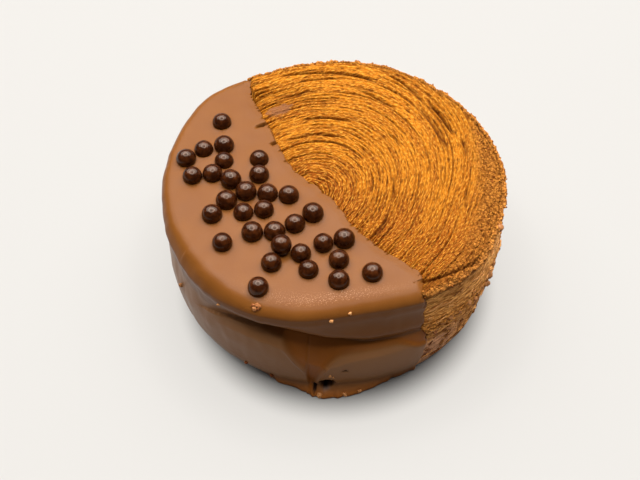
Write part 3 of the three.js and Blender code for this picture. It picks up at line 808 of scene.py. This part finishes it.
def crease_depth(angle, z):
    """The crease under the shoulder with the shelf below it, and a plain line round the back"""
    past = swing(angle, CREASE_AT)
    folded = bell(swing(angle, FOLD_MIDDLE), 0, FOLD_SPREAD)
    height = crease_height(angle)
    most = CREASE_DEPTH + FOLD_DEPTH * folded
    most = most * ease(past, -26, 8) * (1 - 0.6 * ease(past, 20, 56))
    step = np.minimum(FLOW_STEP, most)
    reach = SHELF_LEAST + (SHELF_MOST - SHELF_LEAST) * folded
    lean = np.clip((z - height) / reach + 1, 0, 1)
    lean = 0.15 * lean**3 + 0.85 * lean
    shelf = step * ease(above_flow(angle, z), 0, 1.1) * ease(z, 1.5, 5) + (most - step) * lean
    soft = CREASE_SOFT_LEFT + (CREASE_SOFT_RIGHT - CREASE_SOFT_LEFT) * ease(past, 16, 36)
    near = np.where(z > height, most * bell(z - height, 0, soft), shelf)
    far = bell(z, FAR_CREASE_HEIGHT + 1.2 * drift(angle / 25, 0.0, 51), 2.0) * ease(-past, 40, 70)
    return near + FAR_CREASE_DEPTH * far


def foot_flare(angle, z):
    """The chocolate that ran down and set as a thin lip on the tray"""
    past = swing(angle, FOOT_AT)
    pool = FOOT_LEAST * ease(past, -28, -14) - FOOT_DRAWN_LEFT * (1 - ease(past, -28, -14))
    pool = pool + FOOT_MOST * bell(past, 0, np.where(past > 0, FOOT_SPREAD_RIGHT, FOOT_SPREAD_LEFT))
    past_end = swing(angle, FOOT_ENDS)
    pool = pool * (1 - 0.8 * ease(past_end, -5, 5) * (past_end < 60))
    pool = pool + 0.25 * drift(angle / 1.7, 0.0, 43)
    return pool * (1 - ease(z, COAT_FOOT, FOOT_HEIGHT)) ** 1.4 - FOOT_TUCK * (1 - ease(z, 0, 7))


def wall_pits(angle, z):
    """How far each place is pushed in by the pits, each with a ragged edge"""
    push = 0
    for at, height, half_width, half_height, depth in WALL_PITS:
        across = swing(angle, at) * ARC_PER_DEGREE / half_width
        away = np.hypot(across, (z - height) / half_height)
        away = away + 0.15 * drift(across * 2.0, (z - height) / half_height * 2.0, 48)
        push = push + depth * (1 - ease(away, 0.8, 1.02))
    return push


def wall_sink(angle, z):
    """How far the coat's edge dives under the bare wall past the line it was dipped to"""
    ragged = 0.5 * drift(z / 2.2, 0.0, 46) + 0.4 * drift(z / 0.9, 0.0, 47)
    inside = (np.abs(angle) - wall_edge(z)) * ARC_PER_DEGREE + ragged
    return 2.8 * (1 - ease(inside, -2.2, 0.8))


def shoulder_tall(angle):
    return SHOULDER_TALL + SHOULDER_TALLER_LEFT * bell(swing(angle, 180), 0, 22)


def shoulder_wide(angle):
    far = ease(np.sin(np.radians(angle)), -0.3, 0.8)
    return SHOULDER_WIDE_NEAR + (SHOULDER_WIDE_FAR - SHOULDER_WIDE_NEAR) * far


def coat_radius(angle, z):
    """The outside of the coat at a height, from its foot over the flows and the crease to the shoulder"""
    past = np.abs(swing(angle, FOLD_AT))
    flow = FLOW_OUT * (1 - ease(z, 14, 27))
    ridge = FOLD_RIDGE * bell(above_flow(angle, z), -0.5, 0.5) * bell(past, 4, 7)
    brow = BROW_DEPTH * bell(z, BROW_HEIGHT, BROW_SPREAD)
    waves = 0.2 * drift(angle / 7, z / 13, 44) + 0.1 * drift(angle / 2.6, z / 5, 45)
    over = np.clip((z - COAT_TOP) / shoulder_tall(angle) + 1, 0, 1)
    shoulder = shoulder_wide(angle) * (1 - (1 - over**1.4) ** 0.45)
    shape = outline_radius(angle, z) + COAT_RISE + flow + ridge + brow - crease_depth(angle, z)
    return shape + foot_flare(angle, z) + waves - shoulder - wall_pits(angle, z)


pearl_nodes = [f"pearl_{number:02d}" for number in range(1, PEARLS + 1)]
pearl_boxes = [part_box(node) for node in pearl_nodes]
pearl_middles = np.array([(low + high) / 2 / MM for low, high in pearl_boxes])
pearl_radii = np.array([(high - low).x / 2 / MM for low, high in pearl_boxes])


def on_swirl(x, y):
    """The angle of a place on the top and its share of the way from the eye to the rim"""
    share = np.full(np.shape(x), 0.5)
    for _ in range(8):
        from_eye_x = x - SWIRL_EYE[0] * (1 - share)
        from_eye_y = y - SWIRL_EYE[1] * (1 - share)
        angle = np.degrees(np.arctan2(from_eye_y, from_eye_x))
        share = np.hypot(from_eye_x, from_eye_y) / bare_radius(angle, ROLL_HEIGHT - CRUST_ROUNDING)
    return angle, share


def coat_height(x, y):
    """The top of the chocolate: gentle waves, a rise against each pearl, an edge notched by the grooves"""
    inside = dip_line(y) - x
    edge = inside - EDGE_NOTCH * swirl(*on_swirl(x, y))["groove"] * bell(inside, 0, 3)
    z = COAT_TOP + 0.14 * drift(x / 9, y / 9, 49) + 0.04 * drift(x / 3, y / 3, 50)
    for middle, radius in zip(pearl_middles, pearl_radii):
        meets = math.sqrt(max(radius**2 - (middle[2] - COAT_TOP) ** 2, 0.5))
        z = z + 0.12 * bell(np.hypot(x - middle[0], y - middle[1]), meets, 0.5)
    thinned = EDGE_THIN * (1 - ease(inside, 0, 3))
    dropped = EDGE_DROP * (1 - ease(edge, -1.0, 0.2))
    return z - thinned - dropped - edge_pits(x, y)


coat_angles = swing(np.linspace(85.5, 274.5, COAT_COLUMNS), 0)
coat_rows = []
coat_fields = {label: [] for label in ("pit", "foot", "flow", "grit")}


def add_coat_row(places, **values):
    coat_rows.append(places)
    for label, rows in coat_fields.items():
        rows.append(np.zeros_like(coat_angles) + values.get(label, 0.0))


inner_radius = outline_radius(coat_angles, 6.0) - COAT_INSIDE - 1.2 * bell(swing(coat_angles, FOOT_AT), 0, 5)
for z in (ROLL_HEIGHT - 4.8, 24.0, 12.0, COAT_FOOT):
    add_coat_row(round_row(coat_angles, inner_radius - 1.0 * (z > 20), z))
wall_top = COAT_TOP - shoulder_tall(coat_angles)
# The band on the near shoulder that gets painted sparkle highlights
gritty = bell(swing(coat_angles, PAINTED_SPARKLE_AT), 0, PAINTED_SPARKLE_SPREAD)
for share in np.linspace(0, 1, COAT_WALL_ROWS) ** 0.95:
    z = COAT_FOOT + (wall_top - COAT_FOOT) * share
    places = round_row(coat_angles, coat_radius(coat_angles, z) - wall_sink(coat_angles, z), z)
    above_crease = z - crease_height(coat_angles)
    # A painted shadow line along the crease, added to the pits' painted shade
    line = 0.4 * bell(above_crease, 0.2, np.where(above_crease > 0.2, 2.4, 0.4))
    line = line * ease(crease_depth(coat_angles, z - above_crease), 0.5, 2.5)
    valley = ease(above_flow(coat_angles, z), 0, 1) * (1 - ease(above_crease, -1, 0))
    add_coat_row(
        places,
        # pit carries painted shade: inside the pits and along the crease
        pit=np.clip(wall_pits(coat_angles, z) / 0.5 + line, 0, 1),
        # foot marks the foot and the shelf under the crease, which get painted light in the colour
        foot=np.maximum(1 - ease(z, 0.5, 3.5), valley),
        # flow marks the lower flows, where a painted reflection turns the colour grey
        flow=1 - ease(above_flow(coat_angles, z), -0.8, 0.8),
    )
for bend in np.radians(np.linspace(3, 90, COAT_SHOULDER_ROWS)):
    z = wall_top + shoulder_tall(coat_angles) * np.sin(bend)
    row = round_row(coat_angles, coat_radius(coat_angles, z) - wall_sink(coat_angles, z), z)
    row[:, 2] += (coat_height(row[:, 0], row[:, 1]) - COAT_TOP) * np.sin(bend) ** 4
    add_coat_row(row, grit=gritty * ease(np.sin(bend), 0.85, 1))
top_edge = coat_rows[-1]
dip_tail = dip_line(top_edge[:, 1]) + 2.0
for share in 1 - np.linspace(1, 0, COAT_TOP_ROWS)[1:] ** 2:
    x = top_edge[:, 0] + (dip_tail - top_edge[:, 0]) * share
    y = top_edge[:, 1]
    # Painted shade in the hollows of the dipped edge
    top_pit_shade = np.clip(0.4 * edge_pits(x, y), 0, 1)
    # Painted sparkle highlights on a strip of the top along the near shoulder
    strip = gritty * (1 - ease(np.abs(x - top_edge[:, 0]), 1, 6))
    add_coat_row(np.stack([x, y, coat_height(x, y)], axis=-1), pit=top_pit_shade, grit=strip)
for share in (0.98, 0.6, 0.2):
    x = top_edge[:, 0] + (dip_tail - top_edge[:, 0]) * share
    add_coat_row(np.stack([x, top_edge[:, 1] * 0.96, np.zeros_like(x) + ROLL_HEIGHT - 4.4], axis=-1))

loop = len(coat_rows)
coat_faces = ring_faces(loop + 1, COAT_COLUMNS, False)
coat_faces = [[corner % (loop * COAT_COLUMNS) for corner in face] for face in coat_faces]
coat_faces.append([row * COAT_COLUMNS for row in range(loop)])
coat_faces.append([row * COAT_COLUMNS + COAT_COLUMNS - 1 for row in reversed(range(loop))])
coat_values = {label: np.concatenate(rows) for label, rows in coat_fields.items()}
coat = piece_of("chocolate_coat_dip", np.concatenate(coat_rows), coat_faces, coat_values)

MILK_CHOCOLATE = (0.137, 0.0465, 0.0080, 1)
MILK_CHOCOLATE_DEEP = (0.128, 0.0425, 0.0072, 1)
# Painted reflection: the grey sheen laid on the lower flows
FLOW_PAINTED_SHEEN = (0.190, 0.084, 0.032, 1)
# Painted highlight: small pale sparkles on the near shoulder
PAINTED_SPARKLE, PAINTED_SPARKLE_SIZE = (0.30, 0.15, 0.075, 1), 0.32
# Painted light: a warmer, lighter brown on the shelf under the crease and at the foot, where no grey
# reflection shows
SHELF_AND_FOOT_PAINTED_LIGHT = (0.19, 0.058, 0.009, 1)
# Painted shade: near black inside the pits, along the crease and in the hollows of the dipped edge
PIT_PAINTED_SHADE = (0.012, 0.003, 0.0006, 1)


def set_chocolate():
    material, tree, shader, place = finish_material("set_milk_chocolate")
    patches = remap(tree, speckle(tree, place, 9), 0.35, 0.65)
    body = colour_mix(tree, patches, MILK_CHOCOLATE, MILK_CHOCOLATE_DEEP)
    # Painted reflection: the lower flows turn a lighter grey brown
    body = colour_mix(tree, field_of(tree, "flow"), body, FLOW_PAINTED_SHEEN)
    # Painted light on the shelf under the crease and along the foot
    body = colour_mix(tree, field_of(tree, "foot"), body, SHELF_AND_FOOT_PAINTED_LIGHT)
    # Painted highlight: small pale sparkles on the near shoulder
    painted_sparks = remap(tree, speckle(tree, place, PAINTED_SPARKLE_SIZE, 1.0), 0.58, 0.72)
    body = colour_mix(tree, times(tree, painted_sparks, field_of(tree, "grit")), body, PAINTED_SPARKLE)
    # Painted shade inside the pits, along the crease and in the edge hollows
    body = colour_mix(tree, field_of(tree, "pit"), body, PIT_PAINTED_SHADE)
    tree.links.new(body, shader.inputs["Base Color"])
    skin = sum_of(tree, "MULTIPLY_ADD", speckle(tree, place, 2.5), 2.0, speckle(tree, place, 0.4))
    bumps = node_in(tree, "ShaderNodeBump", {"Strength": 0.3, "Distance": 0.08 * MM, "Height": skin})
    tree.links.new(bumps.outputs[0], shader.inputs["Normal"])
    shader.inputs["Roughness"].default_value = 0.33
    shader.inputs["Specular IOR Level"].default_value = 0.09
    return material


coat.data.materials.append(set_chocolate())
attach(coat, "root")
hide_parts("chocolate_coat")

# Stray crumbs: bits of crust that broke off when the roll was dipped. They stick to the
# chocolate's shoulder, wall and foot, and a few larger ones stand out from the bare wall and rim.
# Each: angle, height, radius, tint from reddish brown to pale gold
STRAYS_ON_COAT = [
    (-146.8, 35.4, 0.7, 0.3),
    (-148.0, 35.2, 0.55, 0.15),
    (-147.3, 34.8, 0.7, 0.4),
    (-146.3, 34.9, 0.5, 0.1),
    (-145.9, 35.3, 0.45, 0.3),
    (-122.7, 32.9, 0.65, 0.9),
    (-116.4, 34.3, 0.5, 0.9),
    (-123.3, 8.8, 0.45, 0.8),
    (-122.3, 8.2, 0.3, 0.7),
    (-160.0, 30.4, 0.4, 1.0),
    (177.0, 17.5, 0.7, 0.5),
    (-126.7, 1.0, 0.8, 0.7),
    (-118.6, 0.9, 0.6, 0.7),
    (-113.7, 1.0, 0.55, 0.6),
    (-152.4, 5.0, 0.6, 0.0),
    (-143.6, 2.2, 0.7, 0.0),
]
STRAYS_ON_CRUST = [
    (-59.7, 20.4, 1.1, 0.6),
    (-61.5, 18.4, 1.0, 0.6),
    (-79.6, 14.6, 1.1, 0.9),
    (-52.3, 34.6, 1.1, 0.5),
    (49.1, 34.6, 1.1, 0.3),
    (-87.0, 17.0, 0.8, 0.3),
    (-84.0, 19.3, 0.6, 0.4),
    (-81.0, 20.1, 0.7, 0.6),
    (-77.0, 19.6, 0.6, 0.5),
    (-73.0, 20.6, 0.9, 0.7),
    (-70.0, 19.8, 0.7, 0.5),
    (-66.0, 21.0, 0.6, 0.6),
    (-63.0, 19.4, 0.7, 0.5),
    (-56.0, 22.0, 0.7, 0.6),
]
STRAY_CRAG_SIZE, STRAY_CRAG_DEPTH = 0.7, 0.5
STRAY_SEED = 5
STRAY_BROWN = (0.14, 0.032, 0.005, 1)
STRAY_GOLD = (0.44, 0.20, 0.07, 1)


def stray_places(strays, radius_of):
    return [round_row(np.array(at), radius_of(np.array(at), height), height) for at, height, _, _ in strays]


def balls_on_points(tree, given, fineness):
    """A ball on each point, turned at random and as large as the point says"""
    ball = node_in(tree, "GeometryNodeMeshIcoSphere", {"Radius": 1.0, "Subdivisions": fineness}).outputs[0]
    turn = random_value(tree, "FLOAT_VECTOR", (0, 0, 0), ANY_TURN, given["Seed"])
    radius = named_field(tree, "radius")
    laid = {"Points": given["Geometry"], "Instance": ball, "Rotation": turn, "Scale": radius}
    balls = node_in(tree, "GeometryNodeInstanceOnPoints", laid).outputs[0]
    return node_in(tree, "GeometryNodeRealizeInstances", {0: balls}).outputs[0]


def end_smooth(tree, geometry, material):
    smooth = node_in(tree, "GeometryNodeSetShadeSmooth", {"Geometry": geometry}).outputs[0]
    end_tree(tree, smooth, material)


def stray_bits(material):
    tree, given = shape_tree("stray_bits", {"Crag size": "Float", "Crag depth": "Float", "Seed": "Int"})
    balls = balls_on_points(tree, given, 3)
    place = node_in(tree, "GeometryNodeInputPosition").outputs[0]
    crags = lumps_in(tree, place, given["Crag size"], given["Crag depth"])
    end_smooth(tree, pushed_out(tree, balls, crags), material)
    return tree


all_strays = STRAYS_ON_COAT + STRAYS_ON_CRUST
stray_spots = stray_places(STRAYS_ON_COAT, coat_radius) + stray_places(STRAYS_ON_CRUST, wall_radius)
stray_values = {
    "radius": np.array([radius for _, _, radius, _ in all_strays]) * MM,
    "tint": np.array([tint for _, _, _, tint in all_strays]),
}
strays = piece_of("stray_crumbs", np.array(stray_spots), [], stray_values)
stray_finish = crumb_crust("stray_crust", STRAY_BROWN, STRAY_GOLD)
stray_sizes = {"Crag size": STRAY_CRAG_SIZE * MM, "Crag depth": STRAY_CRAG_DEPTH * MM, "Seed": STRAY_SEED}
grown(strays, stray_bits(stray_finish), stray_sizes)
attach(strays, "root")

# The pearls: crisp grains in a polished shell of dark chocolate, dropped on by hand while the
# coat was soft, so each has sunk in a little.
DENT_SIZE, DENT_DEPTH = 2.5, 0.2
PEARL_SEED = 2
PEARL_DARK = (0.018, 0.0036, 0.0006, 1)
PEARL_WARM = (0.050, 0.012, 0.0022, 1)
PEARL_SHEEN = (1.0, 0.80, 0.64, 1)


def pearl_cluster(material):
    tree, given = shape_tree("pearl_cluster", {"Dent size": "Float", "Dent depth": "Float", "Seed": "Int"})
    balls = balls_on_points(tree, given, 4)
    place = node_in(tree, "GeometryNodeInputPosition").outputs[0]
    dents = swells_in(tree, place, given["Dent size"], given["Dent depth"], 1.0)
    end_smooth(tree, pushed_out(tree, balls, dents), material)
    return tree


def polished_chocolate():
    material, tree, shader, place = finish_material("polished_dark_chocolate")
    patches = remap(tree, speckle(tree, place, 1.6), 0.42, 0.72)
    tree.links.new(colour_mix(tree, patches, PEARL_DARK, PEARL_WARM), shader.inputs["Base Color"])
    shader.inputs["Roughness"].default_value = 0.17
    shader.inputs["Specular IOR Level"].default_value = 0.3
    shader.inputs["Specular Tint"].default_value = PEARL_SHEEN
    return material


pearls = piece_of("chocolate_pearls", pearl_middles, [], {"radius": pearl_radii * MM})
pearl_sizes = {"Dent size": DENT_SIZE * MM, "Dent depth": DENT_DEPTH * MM, "Seed": PEARL_SEED}
grown(pearls, pearl_cluster(polished_chocolate()), pearl_sizes)
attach(pearls, "root")
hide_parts(*pearl_nodes)

# The stage: a pale floor whose glow is painted light, dimmed in a disc under the roll as a painted shadow,
# under a large soft panel above and behind the roll, with a weak ring of lamps that shows as a small ring on
# each pearl, and the camera at the photograph's angle.
FLOOR_SIDE = 8.0
FLOOR_PALE = (0.095, 0.092, 0.0875, 1)
FLOOR_GLOW, FLOOR_WARM = 0.61, (1.0, 0.966, 0.916, 1)
SHADE_MIDDLE, SHADE_FROM, SHADE_TO = (-5.0, -9.4, 0.0), 37.5, 50.5
floor_mesh = bpy.data.meshes.new("floor")
half = FLOOR_SIDE / 2
floor_corners = [(-half, -half, 0), (half, -half, 0), (half, half, 0), (-half, half, 0)]
floor_mesh.from_pydata(floor_corners, [], [(0, 1, 2, 3)])
floor = bpy.data.objects.new("floor", floor_mesh)
bpy.context.scene.collection.objects.link(floor)
floor_material, floor_tree, floor_shader, floor_place = finish_material("pale_floor")
floor_shader.inputs["Base Color"].default_value = FLOOR_PALE
floor_shader.inputs["Emission Color"].default_value = FLOOR_WARM
# Painted shadow: the floor's glow fades to nothing in a disc under the roll; the glow itself is painted
# light
shade = {0: floor_place, 1: Vector(SHADE_MIDDLE) * MM}
out_from_roll = node_in(floor_tree, "ShaderNodeVectorMath", shade, operation="DISTANCE").outputs["Value"]
painted_glow_and_shadow = {0: out_from_roll, 1: SHADE_FROM * MM, 2: SHADE_TO * MM, 3: 0.0, 4: FLOOR_GLOW}
painted_floor_glow = node_in(floor_tree, "ShaderNodeMapRange", painted_glow_and_shadow, interpolation_type="SMOOTHSTEP").outputs[0]
floor_tree.links.new(painted_floor_glow, floor_shader.inputs["Emission Strength"])
floor_shader.inputs["Roughness"].default_value = 0.9
floor_shader.inputs["Specular IOR Level"].default_value = 0.0
floor.data.materials.append(floor_material)

CAMERA_PLACE = Vector((-98.9, -160.45, 256.95)) * MM
CAMERA_FORWARD = Vector((0.32496, 0.52721, -0.78515))
CAMERA_UP = Vector((0.42048, 0.66309, 0.61928))
CAMERA_SENSOR, CAMERA_LENS = 36.0, 56.25
CAMERA_SHIFT = (-0.0211, -0.0363)
camera_right = CAMERA_FORWARD.cross(CAMERA_UP).normalized()
camera_data = bpy.data.cameras.new("camera")
camera_data.sensor_width = CAMERA_SENSOR
camera_data.lens = CAMERA_LENS
camera_data.shift_x, camera_data.shift_y = CAMERA_SHIFT
camera = bpy.data.objects.new("camera", camera_data)
bpy.context.scene.collection.objects.link(camera)
upright = camera_right.cross(CAMERA_FORWARD).normalized()
turned = Matrix((camera_right, upright, -CAMERA_FORWARD)).transposed()
camera.matrix_world = Matrix.Translation(CAMERA_PLACE) @ turned.to_4x4()
bpy.context.scene.camera = camera

LAMPS = 24
LAMP_HEIGHT = 0.9
LAMP_RING = 0.36
LAMP_SIZE = 0.12
LAMP_POWER = 0.5
LAMP_LEAN = 0.16
PANEL_WIDE, PANEL_DEEP = 2.4, 1.1
PANEL_HEIGHT, PANEL_LEAN = 1.0, 0.5
PANEL_POWER = 49.0
WORLD_STRENGTH, WORLD_WARM = 0.07, (1.0, 0.98, 0.95, 1)


def add_lamp(name, place, shape, size, power):
    lamp = bpy.data.lights.new(name, "AREA")
    lamp.shape = shape
    lamp.size, lamp.size_y = size
    lamp.energy = power
    holder = bpy.data.objects.new(name, lamp)
    holder.location = place
    holder.rotation_euler = (-Vector(place)).to_track_quat("-Z", "Y").to_euler()
    bpy.context.scene.collection.objects.link(holder)


away_from_camera = Vector((CAMERA_FORWARD.x, CAMERA_FORWARD.y, 0)).normalized()
for number in range(LAMPS):
    turn = 2 * math.pi * number / LAMPS
    ring_place = Vector((LAMP_RING * math.cos(turn), LAMP_RING * math.sin(turn), LAMP_HEIGHT))
    ring_place = ring_place + away_from_camera * LAMP_LEAN
    add_lamp(f"ring_lamp_{number:02d}", ring_place, "DISK", (LAMP_SIZE, LAMP_SIZE), LAMP_POWER)
panel_place = away_from_camera * PANEL_LEAN + Vector((0, 0, PANEL_HEIGHT))
add_lamp("back_panel", panel_place, "RECTANGLE", (PANEL_WIDE, PANEL_DEEP), PANEL_POWER)

world = bpy.data.worlds.new("studio")
world.use_nodes = True
backdrop = world.node_tree.nodes["Background"]
backdrop.inputs["Color"].default_value = WORLD_WARM
backdrop.inputs["Strength"].default_value = WORLD_STRENGTH
bpy.context.scene.world = world
bpy.context.scene.view_settings.view_transform = "Standard"
